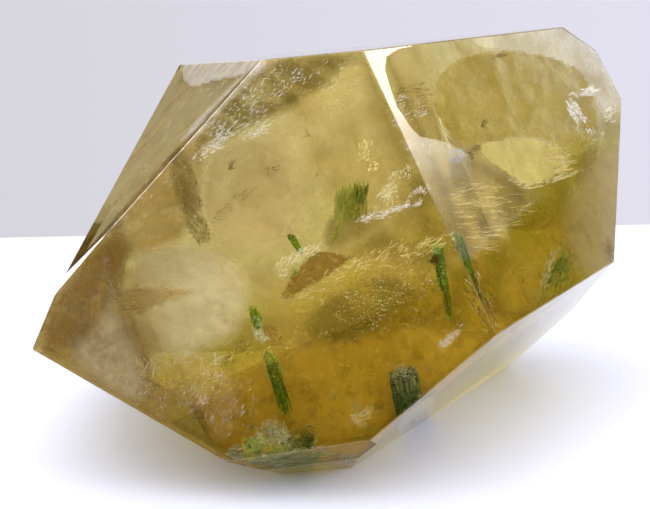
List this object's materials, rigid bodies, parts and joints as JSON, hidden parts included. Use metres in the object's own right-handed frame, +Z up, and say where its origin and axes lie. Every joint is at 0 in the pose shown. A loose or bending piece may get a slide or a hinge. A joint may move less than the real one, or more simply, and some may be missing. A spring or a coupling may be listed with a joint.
{
  "type": "citrine with tourmaline",
  "caption": "Polished free-form piece of a clear honey-yellow quartz crystal, ground to flat facets, with green tourmaline crystals sealed inside, resting on a small ground base.",
  "frame": {"origin": "on the surface that the stone rests on, below the middle of its bounding box", "axes": "+Z up, the widest facet looks along -Y, and +X is the stone's longest extent, towards its blunt right-hand end"},
  "size_m": [0.112, 0.0973, 0.0776],
  "materials": {
    "citrine": "polished",
    "green_tourmaline": "glassy, striated",
    "dark_tourmaline": "glassy, striated",
    "blue_black_tourmaline": "glassy, striated",
    "pale_tourmaline": "fibrous"
  },
  "bodies": {
    "root": {"citrine_front": "citrine", "citrine_back": "citrine", "tourmaline_broken_top": "green_tourmaline", "tourmaline_broken_base": "green_tourmaline", "tourmaline_short": "green_tourmaline", "tourmaline_chip": "green_tourmaline", "tourmaline_ridge": "dark_tourmaline", "tourmaline_spray_centre": "green_tourmaline", "tourmaline_spray_right": "green_tourmaline", "tourmaline_thick": "blue_black_tourmaline", "tourmaline_cluster": "pale_tourmaline"}
  },
  "joints": []
}
